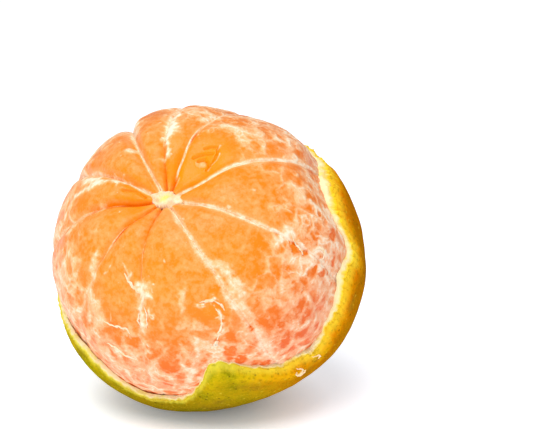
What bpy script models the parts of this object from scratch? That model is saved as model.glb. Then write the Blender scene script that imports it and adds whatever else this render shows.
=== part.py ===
"""A half-peeled orange, leaning over in the cup of peel that is left on it.

The fruit has its own frame: Z runs along its core and out at the peeled end, and azimuth 0 is the side that
leans lowest. The empty fruit_axis carries that frame into the world, where the fruit rests on a small flat
spot of its peel at z = 0, straight below the fruit's centre.
"""

import math
import random

import bmesh
import bpy
from mathutils import Vector, noise
from mathutils.bvhtree import BVHTree

MM = 0.001

# Points closer than this are one point, a cut is this exact, and an edge sharper than this stays sharp.
WELD_DISTANCE = 0.001 * MM
CUT_EXACTNESS = 0.0001 * MM
SHARP_ANGLE = 50.0

# The whole fruit as it grew, measured over its skin.
FRUIT_RADIUS = 37.6 * MM
FRUIT_HALF_HEIGHT = 36.1 * MM
PEEL_THICKNESS = 2.0 * MM
PEEL_GAP = 0.45 * MM
TOUCH_GAP = 0.3 * MM

# How the fruit lies, in degrees, and how high its centre stands once its peel has settled flat.
LEAN = 48.0
HEADING = -112.8
CENTRE_HEIGHT = 35.0 * MM

# Soft swellings and dents of the skin: azimuth, polar angle and reach in degrees, then height.
LUMPS = (
    (172, 68, 24, -1.2 * MM),
    (25, 122, 27, -1.9 * MM),
    (85, 108, 30, 0.8 * MM),
    (-34, 92, 22, 0.6 * MM),
    (-130, 55, 22, 0.4 * MM),
    (-160, 57, 18, 0.9 * MM),
)

# The seams between the segments, as azimuths in degrees going round the core.
SEAMS = (-138.7, -105.8, -74.5, -35.1, -1.6, 45.7, 84.9, 128.0, 172.7, 196.4)

# The torn edge of the peel: azimuth, and how far down from the peeled end it lies, in degrees.
TORN_EDGE = (
    (-180, 81), (-165, 84), (-150, 83), (-120, 79), (-95, 83), (-75, 81), (-60, 80), (-50, 78),
    (-42, 76.5), (-34, 76), (-27, 78.5), (-20, 83), (-14, 87), (-7, 90), (0, 90), (6, 89), (11, 86),
    (15, 82), (18.5, 77.5), (21, 72.5), (24, 70), (28, 69.5), (31.5, 73), (35, 77), (39, 80),
    (43, 84.5), (48, 88.5), (54, 90), (60, 92), (66, 91.5), (70, 87.5), (76, 86.5), (81, 84),
    (87, 80.8), (91, 82.2), (97, 83.7), (101, 81), (103.5, 75), (108, 71), (114, 68.5), (119, 67.3),
    (125, 69), (131, 72.5), (142, 81), (155, 84), (168, 81), (180, 81),
)
TEAR_RAGGEDNESS = 1.1
TEAR_SPACING = 9.0
EDGE_FLARE = 0.5 * MM
EDGE_FLARE_REACH = 7.0
PEEL_COLUMNS = 90
PEEL_ROWS = 9
ROW_CROWDING = 1.6
# Share of the full thickness in the first rows below the tear, where the peel runs out thin.
EDGE_THINNING = (0.28, 0.8)

# The peeled end sinks in round the core.
DIMPLE_DEPTH = 6.0 * MM
DIMPLE_RADIUS = 9.0 * MM
# Peeled segments spring out by nearly the peel's thickness, over this many degrees above the tear.
SPRING_OUT_ANGLE = 18.0
PEELED_INSET = 0.1 * MM

CORE_WAIST = 2.3 * MM
CORE_END = 3.3 * MM
CORE_SIDES = 14
CORE_CAP = 1.2 * MM
CORE_GAP = 0.4 * MM
# The flesh at these polar angles gives the heights of the core's two ends.
CORE_TOP_POLAR = 5.0
CORE_BOTTOM_POLAR = 176.0
# How each end is rounded: share of the core's radius, and how far below the very end.
CORE_ROUNDING = ((0.0, 0.0), (0.6, 0.1 * MM), (0.93, 0.7 * MM), (1.0, 1.8 * MM))

SEGMENT_COLUMNS = 28
BACK_SHARE = 0.8
SEGMENT_MIDDLE = 17.0 * MM
# A segment's section, from the middle of its flat side to the middle of its back:
# share of the half width, and share of the depth measured from the segment's middle.
SECTION = ((1.0, 0.0), (1.0, 0.5), (1.0, 0.905), (0.93, 0.96), (0.6, 0.99), (0.0, 1.0))

# The strings of pith, by radius, and the net that they make on the segments' backs.
SEAM_STRING = 0.55 * MM
NET_STRING = 0.42 * MM
STRING_STEP = 7.0
STRING_GAP = 0.45 * MM
CROWN_POLAR = 9.0
NET_POLARS = (46.0, 60.0, 73.0, 85.0)
NET_SHARES = (0.0, 0.1, 0.22, 0.41, 0.6, 0.78, 0.9)
NET_TIE_PLACES = (2, 3, 4, 5)
NET_WAVE = 2.0
NET_WAVES_ROUND = (4, 7, 11)
NET_SEED = 7
TIE_SWAY = 1.5
# Share of a string's thickness that is left along its edges.
STRING_EDGE = 0.4
EDGE_CLEARANCE = 3.0
ROW_ROOM = 6.0
# The seams' strings are rooted in the core, at this share of its end's radius.
ROOT_SHARE = 0.6
# A string comes down on the flesh from this far outside it, aimed at this share of its height on the axis.
LAYING_HEIGHT = 4.0 * MM
LAYING_AIM = 0.6
LAYING_EXACTNESS = 0.01 * MM
LAYING_STEPS = 40

PEEL_SKIN = ((0.50, 0.46, 0.03, 1), 0.45)
SEGMENT_SKIN = ((0.92, 0.36, 0.06, 1), 0.4)
PITH = ((0.93, 0.76, 0.52, 1), 0.7)


def clear_scene():
    for old in list(bpy.data.objects):
        bpy.data.objects.remove(old)


def material(name, finish):
    colour, roughness = finish
    made = bpy.data.materials.new(name)
    made.use_nodes = True
    shader = made.node_tree.nodes["Principled BSDF"]
    shader.inputs["Base Color"].default_value = colour
    shader.inputs["Roughness"].default_value = roughness
    return made


def smooth_step(low, high, value):
    share = min(1.0, max(0.0, (value - low) / (high - low)))
    return share * share * (3 - 2 * share)


def direction(azimuth, polar):
    """Unit vector in the fruit's frame, from angles in degrees."""
    around, down = math.radians(azimuth), math.radians(polar)
    return Vector((math.sin(down) * math.cos(around), math.sin(down) * math.sin(around), math.cos(down)))


def swelling(azimuth, polar):
    """How far the lumps push the skin out at these angles."""
    here = direction(azimuth, polar)
    total = 0.0
    for lump_azimuth, lump_polar, reach, height in LUMPS:
        away = math.degrees(here.angle(direction(lump_azimuth, lump_polar)))
        total += height * math.exp(-((away / reach) ** 2))
    return total


def skin_point(azimuth, polar, offset=0.0):
    """Point of the whole fruit's skin, or offset outside it."""
    grown = swelling(azimuth, polar) + offset
    across, along = FRUIT_RADIUS + grown, FRUIT_HALF_HEIGHT + grown
    here = direction(azimuth, polar)
    return Vector((here.x * across, here.y * across, here.z * along))


def tear_polar(azimuth):
    """Polar angle of the torn edge at an azimuth, in degrees."""
    azimuth = (azimuth + 180) % 360 - 180
    for (left, left_polar), (right, right_polar) in zip(TORN_EDGE, TORN_EDGE[1:]):
        if left <= azimuth <= right:
            break
    ragged = noise.noise(direction(azimuth, 90) * TEAR_SPACING) * TEAR_RAGGEDNESS
    return left_polar + (right_polar - left_polar) * smooth_step(left, right, azimuth) + ragged


def flesh_point(azimuth, polar):
    """Point on the crest of the flesh: sprung out where it is peeled, snug inside the peel elsewhere."""
    edge = tear_polar(azimuth)
    covered = smooth_step(edge - SPRING_OUT_ANGLE, edge + 1, polar)
    inset = PEELED_INSET + (PEEL_THICKNESS + PEEL_GAP - PEELED_INSET) * covered
    point = skin_point(azimuth, polar, -inset)
    out = math.hypot(point.x, point.y)
    if point.z > 0:
        point.z -= DIMPLE_DEPTH * math.exp(-((out / DIMPLE_RADIUS) ** 2))
    return point


def core_radius(height):
    """Radius of the white core at a height on the fruit's axis."""
    share = min(1.0, abs(height) / (FRUIT_HALF_HEIGHT - DIMPLE_DEPTH))
    return CORE_WAIST + (CORE_END - CORE_WAIST) * share**3


def core_top():
    """Height of the core's top on the fruit's axis."""
    return flesh_point(0, CORE_TOP_POLAR).z + CORE_CAP


def add_object(name, mesh, finish, axis):
    made = bpy.data.objects.new(name, mesh)
    bpy.data.collections["half_peeled_orange"].objects.link(made)
    made.parent = axis
    mesh.materials.clear()
    mesh.materials.append(finish)
    mesh.shade_smooth()
    mesh.set_sharp_from_angle(angle=math.radians(SHARP_ANGLE))
    return made


def baked_mesh(thing):
    """The object's mesh with its modifiers or its bevel made real, and its doubled points joined."""
    graph = bpy.context.evaluated_depsgraph_get()
    mesh = bpy.data.meshes.new_from_object(thing.evaluated_get(graph))
    work = bmesh.new()
    work.from_mesh(mesh)
    bmesh.ops.remove_doubles(work, verts=work.verts, dist=WELD_DISTANCE)
    work.to_mesh(mesh)
    work.free()
    bpy.data.objects.remove(thing)
    return mesh


def fruit_axis():
    """The empty that carries the fruit's own frame into the world."""
    axis = bpy.data.objects.new("fruit_axis", None)
    bpy.data.collections["half_peeled_orange"].objects.link(axis)
    axis.location = (0, 0, CENTRE_HEIGHT)
    axis.rotation_euler = (0, math.radians(LEAN), math.radians(HEADING))
    bpy.context.view_layer.update()
    return axis


def peel_inner_skin():
    """The inner face of the peel cup as an open sheet, with the share of full thickness at each point."""
    sheet = bmesh.new()
    bmesh.ops.create_uvsphere(sheet, u_segments=PEEL_COLUMNS, v_segments=2 * PEEL_ROWS, radius=1)
    upper = [vert for vert in sheet.verts if vert.co.z > 0.01]
    bmesh.ops.delete(sheet, geom=upper, context="VERTS")
    shares = []
    for vert in sheet.verts:
        azimuth = math.degrees(math.atan2(vert.co.y, vert.co.x))
        row = round(math.asin(min(1.0, -vert.co.z)) / (math.pi / 2) * PEEL_ROWS)
        edge = tear_polar(azimuth)
        polar = edge + (180 - edge) * (row / PEEL_ROWS) ** ROW_CROWDING
        flare = EDGE_FLARE * (1 - smooth_step(0, EDGE_FLARE_REACH, polar - edge))
        vert.co = skin_point(azimuth, polar, flare - PEEL_THICKNESS)
        shares.append(EDGE_THINNING[row] if row < len(EDGE_THINNING) else 1.0)
    return sheet, shares


def peel_cup(finish, axis):
    """The peel that is left on the fruit: a cup with a torn edge, and the flat spot that it rests on."""
    sheet, shares = peel_inner_skin()
    mesh = bpy.data.meshes.new("peel_sheet")
    sheet.to_mesh(mesh)
    sheet.free()
    cup = bpy.data.objects.new("peel_sheet", mesh)
    bpy.context.scene.collection.objects.link(cup)
    thickness = cup.vertex_groups.new(name="thickness")
    for index, share in enumerate(shares):
        thickness.add([index], share, "REPLACE")
    shell = cup.modifiers.new("shell", "SOLIDIFY")
    shell.thickness = PEEL_THICKNESS
    shell.offset = 1
    shell.vertex_group = thickness.name
    solid = baked_mesh(cup)

    into_fruit = axis.matrix_world.inverted()
    floor = into_fruit @ Vector((0, 0, 0))
    down = into_fruit.to_3x3() @ Vector((0, 0, -1))
    work = bmesh.new()
    work.from_mesh(solid)
    everything = work.verts[:] + work.edges[:] + work.faces[:]
    cut = bmesh.ops.bisect_plane(
        work, geom=everything, dist=CUT_EXACTNESS, plane_co=floor, plane_no=down, clear_outer=True
    )
    rim = [item for item in cut["geom_cut"] if isinstance(item, bmesh.types.BMEdge)]
    bmesh.ops.edgeloop_fill(work, edges=rim)
    bmesh.ops.recalc_face_normals(work, faces=work.faces)
    work.to_mesh(solid)
    work.free()
    return add_object("peel", solid, finish, axis)


def segment_outline(azimuth, turn):
    """Point of a segment's outline in the half plane at an azimuth, as distance from the axis and height.

    turn runs from -pi to pi round the outline. Its middle part is the curved back, from the peeled end down,
    and the rest is the thin straight edge along the core.
    """
    reach = BACK_SHARE * math.pi
    tip = math.degrees(math.asin((CORE_END + TOUCH_GAP) / FRUIT_RADIUS)) + 1
    polar = 90 + max(-1.0, min(1.0, turn / reach)) * (90 - tip)
    back = flesh_point(azimuth, polar)
    out, height = math.hypot(back.x, back.y), back.z
    if abs(turn) > reach:
        height *= (math.pi - abs(turn)) / (math.pi - reach)
        out = core_radius(height) + CORE_GAP
    return out, height


def segment_mesh(name, first_seam, second_seam):
    """One segment: a ball pressed into the wedge between two seams."""
    rings = 2 * (len(SECTION) - 1)
    middle, half = (first_seam + second_seam) / 2, (second_seam - first_seam) / 2
    work = bmesh.new()
    bmesh.ops.create_uvsphere(work, u_segments=SEGMENT_COLUMNS, v_segments=rings, radius=1)
    for vert in work.verts:
        turn = math.atan2(vert.co.y, vert.co.x)
        ring = round(math.acos(max(-1.0, min(1.0, vert.co.z))) / math.pi * rings)
        side = -1 if 2 * ring > rings else 1
        width, depth = SECTION[min(ring, rings - ring)]
        out, height = segment_outline(middle + side * width * half, turn)
        out = SEGMENT_MIDDLE + (out - SEGMENT_MIDDLE) * depth
        height *= depth
        gap = math.degrees(math.asin(TOUCH_GAP / 2 / out))
        azimuth = math.radians(middle + side * width * (half - gap))
        vert.co = (out * math.cos(azimuth), out * math.sin(azimuth), height)
    mesh = bpy.data.meshes.new(name)
    work.to_mesh(mesh)
    work.free()
    return mesh


def seam_pairs():
    """Each segment's two seams, as azimuths that rise."""
    following = SEAMS[1:] + (SEAMS[0] + 360,)
    return list(zip(SEAMS, following))


def segments(finish, axis):
    return [
        add_object(f"segment_{number:02d}", segment_mesh(f"segment_{number:02d}", *pair), finish, axis)
        for number, pair in enumerate(seam_pairs(), start=1)
    ]


def flesh_tree(pieces):
    """A search tree over all the segments, in the fruit's frame."""
    joined = bmesh.new()
    for piece in pieces:
        joined.from_mesh(piece.data)
    tree = BVHTree.FromBMesh(joined)
    joined.free()
    return tree


def laid_on(tree, azimuth, polar, radius):
    """Where a string of this radius comes to lie when it is pressed onto the flesh at these angles."""
    point = flesh_point(azimuth, polar)
    inward = -(point - Vector((0, 0, point.z * LAYING_AIM))).normalized()
    point -= inward * LAYING_HEIGHT
    for _ in range(LAYING_STEPS):
        away = tree.find_nearest(point)[3] - (radius + STRING_GAP)
        point += inward * away
        if away < LAYING_EXACTNESS:
            break
    return point


def net_row(polar, rows_below, draw):
    """A row of the net: the angles of its knots, waving round the fruit but staying above the torn edge."""
    room = EDGE_CLEARANCE + ROW_ROOM * rows_below
    swings = [
        (count, draw.uniform(0.5, 1.0) * NET_WAVE, draw.uniform(0, math.tau)) for count in NET_WAVES_ROUND
    ]
    places = []
    for first, second in seam_pairs():
        for share in NET_SHARES:
            azimuth = first + (second - first) * share
            wave = sum(swing * math.sin(math.radians(azimuth) * count + at) for count, swing, at in swings)
            places.append((azimuth, min(polar + wave, tear_polar(azimuth) - room)))
    return places


def net_tie(upper, lower, draw):
    """Knots between a knot of one row and the one below it, swaying a little to the side."""
    (azimuth, top), (_, bottom) = upper, lower
    count = max(1, round((bottom - top) / STRING_STEP) - 1)
    sway = draw.uniform(-TIE_SWAY, TIE_SWAY) if draw else 0.0
    shares = [(number + 1) / (count + 1) for number in range(count)]
    return [(azimuth + sway * math.sin(math.pi * share), top + (bottom - top) * share) for share in shares]


def net_sheet(tree):
    """The net as a sheet laid on the flesh, with one face in each of its meshes, and each knot's radius."""
    draw = random.Random(NET_SEED)
    sheet = bmesh.new()
    radii = []

    def knot(place, radius):
        radii.append(radius)
        return sheet.verts.new(laid_on(tree, *place, radius))

    def knots(row):
        on_seam = [index % len(NET_SHARES) == 0 for index in range(len(row))]
        return [knot(place, SEAM_STRING if seam else NET_STRING) for place, seam in zip(row, on_seam)]

    crown = [(seam, CROWN_POLAR) for seam in SEAMS for _ in NET_SHARES]
    above, places = [None] * len(crown), crown
    for number, seam in enumerate(SEAMS):
        angle = math.radians(seam)
        root = Vector((math.cos(angle), math.sin(angle), 0)) * CORE_END * ROOT_SHARE
        root.z = core_top() - 2 * SEAM_STRING
        radii.append(SEAM_STRING)
        above[number * len(NET_SHARES)] = sheet.verts.new(root)

    rows = [net_row(polar, len(NET_POLARS) - 1 - level, draw) for level, polar in enumerate(NET_POLARS)]
    for level, row in enumerate(rows):
        below = knots(row)
        ties = {}
        for index in range(len(row)):
            on_seam = index % len(NET_SHARES) == 0
            if on_seam:
                first = [places[index]] if level == 0 else []
                first += net_tie(places[index], row[index], None)
                ties[index] = [knot(place, SEAM_STRING) for place in first]
        if level:
            for start in range(0, len(row), len(NET_SHARES)):
                for place in draw.sample(NET_TIE_PLACES, 2):
                    index = start + place
                    ties[index] = [knot(at, NET_STRING) for at in net_tie(places[index], row[index], draw)]
        ends = sorted(ties)
        for left, right in zip(ends, ends[1:] + [len(row)]):
            span = [index % len(row) for index in range(left, right + 1)]
            top = [above[index] for index in span if above[index]]
            bottom = [below[index] for index in reversed(span)]
            sheet.faces.new(top + ties[right % len(row)] + bottom + ties[left][::-1])
        above, places = below, row
    return sheet, radii


def net_mesh(tree):
    """The strings of pith in one body: a band along every edge of the net, thickest in its middle."""
    sheet, radii = net_sheet(tree)
    shares = [radius / SEAM_STRING for radius in radii]
    meshes = sheet.faces[:]
    sheet.normal_update()
    bmesh.ops.inset_individual(sheet, faces=meshes, thickness=NET_STRING, use_even_offset=True)
    sheet.verts.ensure_lookup_table()
    sheet.verts.index_update()
    for vert in sheet.verts[len(radii):]:
        others = [edge.other_vert(vert) for edge in vert.link_edges]
        knot = next(other for other in others if other.index < len(radii))
        vert.co = knot.co + (vert.co - knot.co).normalized() * radii[knot.index]
        shares.append(STRING_EDGE * shares[knot.index])
    bmesh.ops.delete(sheet, geom=meshes, context="FACES_ONLY")
    mesh = bpy.data.meshes.new("net_sheet")
    sheet.to_mesh(mesh)
    sheet.free()
    net = bpy.data.objects.new("net_sheet", mesh)
    bpy.context.scene.collection.objects.link(net)
    thickness = net.vertex_groups.new(name="thickness")
    for index, share in enumerate(shares):
        thickness.add([index], share, "REPLACE")
    strings = net.modifiers.new("strings", "SOLIDIFY")
    strings.thickness = 2 * SEAM_STRING
    strings.offset = 0
    strings.vertex_group = thickness.name
    return baked_mesh(net)


def core_mesh():
    """The white core along the fruit's axis: a turned column, wider and rounded at both ends."""
    top, bottom = core_top(), flesh_point(0, CORE_BOTTOM_POLAR).z
    heights = [(share, top - drop) for share, drop in CORE_ROUNDING]
    heights += [(1.0, top + (bottom - top) * share) for share in (0.25, 0.5, 0.75)]
    heights += [(share, bottom + drop) for share, drop in reversed(CORE_ROUNDING)]
    work = bmesh.new()
    rim = [work.verts.new((core_radius(height) * share, 0, height)) for share, height in heights]
    edges = [work.edges.new(pair) for pair in zip(rim, rim[1:])]
    bmesh.ops.spin(
        work,
        geom=rim + edges,
        cent=(0, 0, 0),
        axis=(0, 0, 1),
        angle=math.tau,
        steps=CORE_SIDES,
        use_merge=True,
    )
    bmesh.ops.remove_doubles(work, verts=work.verts, dist=WELD_DISTANCE)
    bmesh.ops.recalc_face_normals(work, faces=work.faces)
    mesh = bpy.data.meshes.new("pith")
    work.to_mesh(mesh)
    work.free()
    return mesh


def pith(finish, axis, pieces):
    """The core and the net of strings that grows out of it, in one body."""
    core = bpy.data.objects.new("core", core_mesh())
    net = bpy.data.objects.new("net", net_mesh(flesh_tree(pieces)))
    bpy.context.scene.collection.objects.link(core)
    bpy.context.scene.collection.objects.link(net)
    union = core.modifiers.new("union", "BOOLEAN")
    union.operation = "UNION"
    union.object = net
    union.solver = "EXACT"
    mesh = baked_mesh(core)
    bpy.data.objects.remove(net)
    return add_object("pith", mesh, finish, axis)


def main():
    clear_scene()
    fruit = bpy.data.collections.new("half_peeled_orange")
    bpy.context.scene.collection.children.link(fruit)
    axis = fruit_axis()
    peel_cup(material("peel_skin", PEEL_SKIN), axis)
    pieces = segments(material("segment_skin", SEGMENT_SKIN), axis)
    pith(material("white_pith", PITH), axis, pieces)


main()
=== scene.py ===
"""Dresses the half-peeled orange: moist segments under a net of pith, leaning in a torn cup of dimpled peel.

Lengths are in metres and angles in degrees. The fruit has its own frame: Z runs along its core and out at the
peeled end, and azimuth 0 is the side that leans lowest. TO_WORLD carries that frame into the world.
"""

import math
import random

import bmesh
import bpy
import numpy as np
from mathutils import Euler, Matrix, Vector, noise


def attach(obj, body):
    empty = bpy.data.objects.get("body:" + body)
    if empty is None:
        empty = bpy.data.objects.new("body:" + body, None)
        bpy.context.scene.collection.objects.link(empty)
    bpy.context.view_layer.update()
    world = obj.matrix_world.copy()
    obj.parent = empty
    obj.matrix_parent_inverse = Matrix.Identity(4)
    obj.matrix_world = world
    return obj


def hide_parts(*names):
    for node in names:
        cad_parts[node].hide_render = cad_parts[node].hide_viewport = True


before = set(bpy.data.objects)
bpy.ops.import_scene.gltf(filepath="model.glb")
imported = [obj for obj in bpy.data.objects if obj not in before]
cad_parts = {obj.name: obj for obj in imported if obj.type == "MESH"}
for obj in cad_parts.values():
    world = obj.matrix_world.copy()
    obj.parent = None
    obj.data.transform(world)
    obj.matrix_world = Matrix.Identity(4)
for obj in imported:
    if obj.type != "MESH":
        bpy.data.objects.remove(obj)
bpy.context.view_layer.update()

MM = 0.001

# The fruit as the solids have it.
FRUIT_RADIUS = 37.6 * MM
FRUIT_HALF_HEIGHT = 36.1 * MM
PEEL_THICKNESS = 2.0 * MM
LEAN = 48.0
HEADING = -112.8
CENTRE_HEIGHT = 35.0 * MM
# Its rises and hollows: azimuth, polar angle and reach in degrees, then height.
LUMPS = (
    (172, 68, 24, -1.2 * MM),
    (25, 122, 27, -1.9 * MM),
    (85, 108, 30, 0.8 * MM),
    (-34, 92, 22, 0.6 * MM),
    (-130, 55, 22, 0.4 * MM),
    (-160, 57, 18, 0.9 * MM),
)
SEAMS = (-138.7, -105.8, -74.5, -35.1, -1.6, 45.7, 84.9, 128.0, 172.7, 196.4)
ALL_ROUND = SEAMS + (SEAMS[0] + 360,)
# The torn edge, as azimuths and polar angles, and how ragged it is.
TORN_EDGE = (
    (-180, 81), (-165, 84), (-150, 83), (-120, 79), (-95, 83), (-75, 81), (-60, 80), (-50, 78),
    (-42, 76.5), (-34, 76), (-27, 78.5), (-20, 83), (-14, 87), (-7, 90), (0, 90), (6, 89), (11, 86),
    (15, 82), (18.5, 77.5), (21, 72.5), (24, 70), (28, 69.5), (31.5, 73), (35, 77), (39, 80),
    (43, 84.5), (48, 88.5), (54, 90), (60, 92), (66, 91.5), (70, 87.5), (76, 86.5), (81, 84),
    (87, 80.8), (91, 82.2), (97, 83.7), (101, 81), (103.5, 75), (108, 71), (114, 68.5), (119, 67.3),
    (125, 69), (131, 72.5), (142, 81), (155, 84), (168, 81), (180, 81),
)
TEAR_RAGGEDNESS = 1.1
TEAR_SPACING = 9.0
DIMPLE_DEPTH = 6.0 * MM
DIMPLE_RADIUS = 9.0 * MM
SPRING_OUT_ANGLE = 18.0
CORE_RADIUS = 2.3 * MM

# Rises and hollows of the flesh alone: azimuth, polar angle and reach in degrees, then height.
FLESH_LUMPS = (
    (148, 18, 9, -2.6 * MM),
    (8, 6, 6, 0.7 * MM),
    (-86, 11, 6, -1.0 * MM),
    (22, 15, 11, 1.3 * MM),
    (-20, 16, 7, 0.8 * MM),
    (110, 34, 9, 0.3 * MM),
    (-152, 34, 12, 0.5 * MM),
)

# The creases between the segments: seam, and depth near the core, halfway down and at the torn edge, in mm.
CREASES = (
    (-138.7, 2.8, 2.2, 1.3),
    (-105.8, 2.2, 1.5, 0.8),
    (-74.5, 2.2, 0.7, 0.5),
    (-35.1, 1.1, 0.4, 0.4),
    (-1.6, 0.7, 0.25, 0.4),
    (45.7, 1.4, 0.4, 0.35),
    (84.9, 1.5, 0.8, 0.6),
    (128.0, 1.6, 0.7, 0.6),
    (172.7, 0.5, 0.6, 0.45),
    (196.4, 0.5, 0.8, 0.35),
)
CREASE_POLARS = (12, 42, 80)
CREASE_ROUNDNESS = 0.75
CROWN = 0.6 * MM
CROWN_FADE = (85, 50)
# A crease is at most this deep, as a share of its segment's half width. Its shoulder has a least width,
# grows by this much for each mm of depth, and is at most this share of the half width.
CREASE_LIMIT = 0.55
SHOULDER_LEAST = 1.1 * MM
SHOULDER_GROWTH = 1.3
SHOULDER_LIMIT = 0.75

# The camera, and how far the fruit's centre lies left of and below the picture's middle.
CAMERA_DISTANCE = 500 * MM
CAMERA_ELEVATION = 15.0
CAMERA_LENS = 140.25
SENSOR_WIDTH = 36.0
FRUIT_LEFT = 14.2 * MM
FRUIT_BELOW = 11.1 * MM

TO_WORLD = Matrix.Translation((0, 0, CENTRE_HEIGHT)) @ Euler(
    (0, math.radians(LEAN), math.radians(HEADING))
).to_matrix().to_4x4()
TURN_TO_WORLD = np.array(TO_WORLD.to_3x3())


def smooth_step(low, high, value):
    share = np.clip((value - low) / (high - low), 0, 1)
    return share * share * (3 - 2 * share)


def blend(low, high, share):
    return low + (high - low) * share


def wrapped(azimuth):
    """The azimuth between -180 and 180."""
    return (azimuth + 180) % 360 - 180


# Shapes of the fruit, in its own frame, for whole arrays of angles at a time.


def directions(azimuth, polar):
    around, down = np.radians(azimuth), np.radians(polar)
    flat = np.sin(down)
    return np.stack(np.broadcast_arrays(flat * np.cos(around), flat * np.sin(around), np.cos(down)), axis=-1)


def swelling(azimuth, polar, lumps):
    """How far these lumps push a surface out at these angles."""
    here = directions(azimuth, polar)
    total = 0
    for lump_azimuth, lump_polar, reach, height in lumps:
        towards = np.clip(here @ directions(lump_azimuth, lump_polar), -1, 1)
        total = total + height * np.exp(-((np.degrees(np.arccos(towards)) / reach) ** 2))
    return total


def skin_points(azimuth, polar, offset=0.0):
    """Points of the whole fruit's skin, or offset outside it."""
    grown = swelling(azimuth, polar, LUMPS) + offset
    sizes = np.stack([FRUIT_RADIUS + grown, FRUIT_RADIUS + grown, FRUIT_HALF_HEIGHT + grown], axis=-1)
    return directions(azimuth, polar) * sizes


def noise_at(points, size, shift=0.0):
    """Smooth noise between -1 and 1 at each point, with features of this size."""
    return np.array([noise.noise(place) for place in (points / size + shift).tolist()])


def noises(points, layers):
    """Noise of several sizes, summed up: each layer is a size, a shift and a strength."""
    return sum(strength * noise_at(points, size, shift) for size, shift, strength in layers)


def noise_over(*coordinates):
    """Smooth noise at the points with these three coordinates, each of them an array or one number."""
    return noise_at(np.stack(np.broadcast_arrays(*coordinates), axis=-1), 1.0)


def tear_polar(azimuth):
    """Polar angle of the torn edge at each azimuth, as the solids have it."""
    angles, polars = np.array(TORN_EDGE, float).T
    azimuth = wrapped(azimuth)
    place = np.clip(np.searchsorted(angles, azimuth, side="right") - 1, 0, len(angles) - 2)
    share = smooth_step(angles[place], angles[place + 1], azimuth)
    ragged = noise_at(directions(azimuth, 90), 1 / TEAR_SPACING) * TEAR_RAGGEDNESS
    return blend(polars[place], polars[place + 1], share) + ragged


TEAR_AZIMUTHS = np.arange(0, 360.5, 0.5)
TEAR_POLARS = tear_polar(TEAR_AZIMUTHS)


def torn_edge(azimuth):
    """The torn edge read from the table above, which is worked out once for every half degree."""
    return np.interp(azimuth % 360, TEAR_AZIMUTHS, TEAR_POLARS)


def flesh_points(azimuth, polar):
    """Points on the crests of the flesh: sprung out where it is peeled, snug inside the peel elsewhere."""
    edge = torn_edge(azimuth)
    covered = smooth_step(edge - SPRING_OUT_ANGLE, edge + 1, polar)
    points = skin_points(azimuth, polar, swelling(azimuth, polar, FLESH_LUMPS) - PEEL_THICKNESS * covered)
    out = np.hypot(points[..., 0], points[..., 1])
    points[..., 2] -= np.where(points[..., 2] > 0, DIMPLE_DEPTH * np.exp(-((out / DIMPLE_RADIUS) ** 2)), 0)
    return points


def crease_drop(azimuth, polar):
    """How far the segments' backs have dropped at these angles, towards their seams."""
    seams = np.array(ALL_ROUND)
    round_trip = (azimuth - SEAMS[0]) % 360 + SEAMS[0]
    place = np.clip(np.searchsorted(seams, round_trip, side="right") - 1, 0, len(SEAMS) - 1)
    half = (seams[place + 1] - seams[place]) / 2
    from_middle = round_trip - seams[place] - half
    seam = np.where(from_middle > 0, (place + 1) % len(SEAMS), place)
    out = np.sin(np.radians(polar)) * FRUIT_RADIUS
    half_width = np.radians(half) * out
    reach = np.minimum(np.radians(abs(from_middle)) * out, half_width)
    depths = np.stack([np.interp(polar, CREASE_POLARS, row[1:]) * MM for row in CREASES])
    depth = np.minimum(depths[seam, np.arange(len(polar))], CREASE_LIMIT * half_width)
    shoulder = np.minimum(SHOULDER_LEAST + SHOULDER_GROWTH * depth, SHOULDER_LIMIT * half_width)
    turn = np.clip((reach - (half_width - shoulder)) / shoulder, 0, 1)
    crown = CROWN * smooth_step(*CROWN_FADE, polar) * (reach / half_width) ** 2
    rounding = 1 - np.sqrt(1 - CREASE_ROUNDNESS * turn * turn)
    return crown + depth * rounding / (1 - math.sqrt(1 - CREASE_ROUNDNESS))


def flesh_surface(azimuth, polar, lift=0.0):
    """Points on the segments' backs, creases and all, or lifted off them."""
    lifted = directions(azimuth, polar) * (lift - crease_drop(azimuth, polar))[..., None]
    return flesh_points(azimuth, polar) + lifted


# Turning shapes into pieces.

SHARP_ANGLE = 35.0


def piece_from(work, name, points, fields, finish, slot, *nodes):
    """A smooth piece from a bmesh whose points go to these places of the fruit's frame."""
    mesh = bpy.data.meshes.new(name)
    work.to_mesh(mesh)
    work.free()
    world = points @ TURN_TO_WORLD.T + np.array(TO_WORLD.translation)
    mesh.vertices.foreach_set("co", world.astype(np.float32).ravel())
    for field, values in fields.items():
        mesh.attributes.new(field, "FLOAT", "POINT").data.foreach_set("value", values.astype(np.float32))
    mesh.update()
    mesh.shade_smooth()
    mesh.set_sharp_from_angle(angle=math.radians(SHARP_ANGLE))
    mesh.materials.append(finish)
    made = bpy.data.objects.new(name, mesh)
    bpy.context.scene.collection.objects.link(made)
    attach(made, "root")
    if nodes:
        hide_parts(*nodes)
    return made


def ball(columns, rows):
    """A ball to press into shape: a grid wrapped round, with its seam and its poles closed.

    With it come each point's turn, from -pi to pi, and its fall from 0 at the top to 1 at the bottom.
    """
    work = bmesh.new()
    bmesh.ops.create_grid(work, x_segments=columns, y_segments=rows, size=1)
    for vert in work.verts:
        turn, rise = vert.co.x * math.pi, vert.co.y * math.pi / 2
        vert.co = (math.cos(rise) * math.cos(turn), math.cos(rise) * math.sin(turn), math.sin(rise))
    bmesh.ops.remove_doubles(work, verts=work.verts, dist=1e-5)
    places = np.array([vert.co[:] for vert in work.verts])
    turn = np.arctan2(places[:, 1], places[:, 0])
    fall = np.arccos(np.clip(places[:, 2], -1, 1)) / math.pi
    return work, turn, fall


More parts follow.
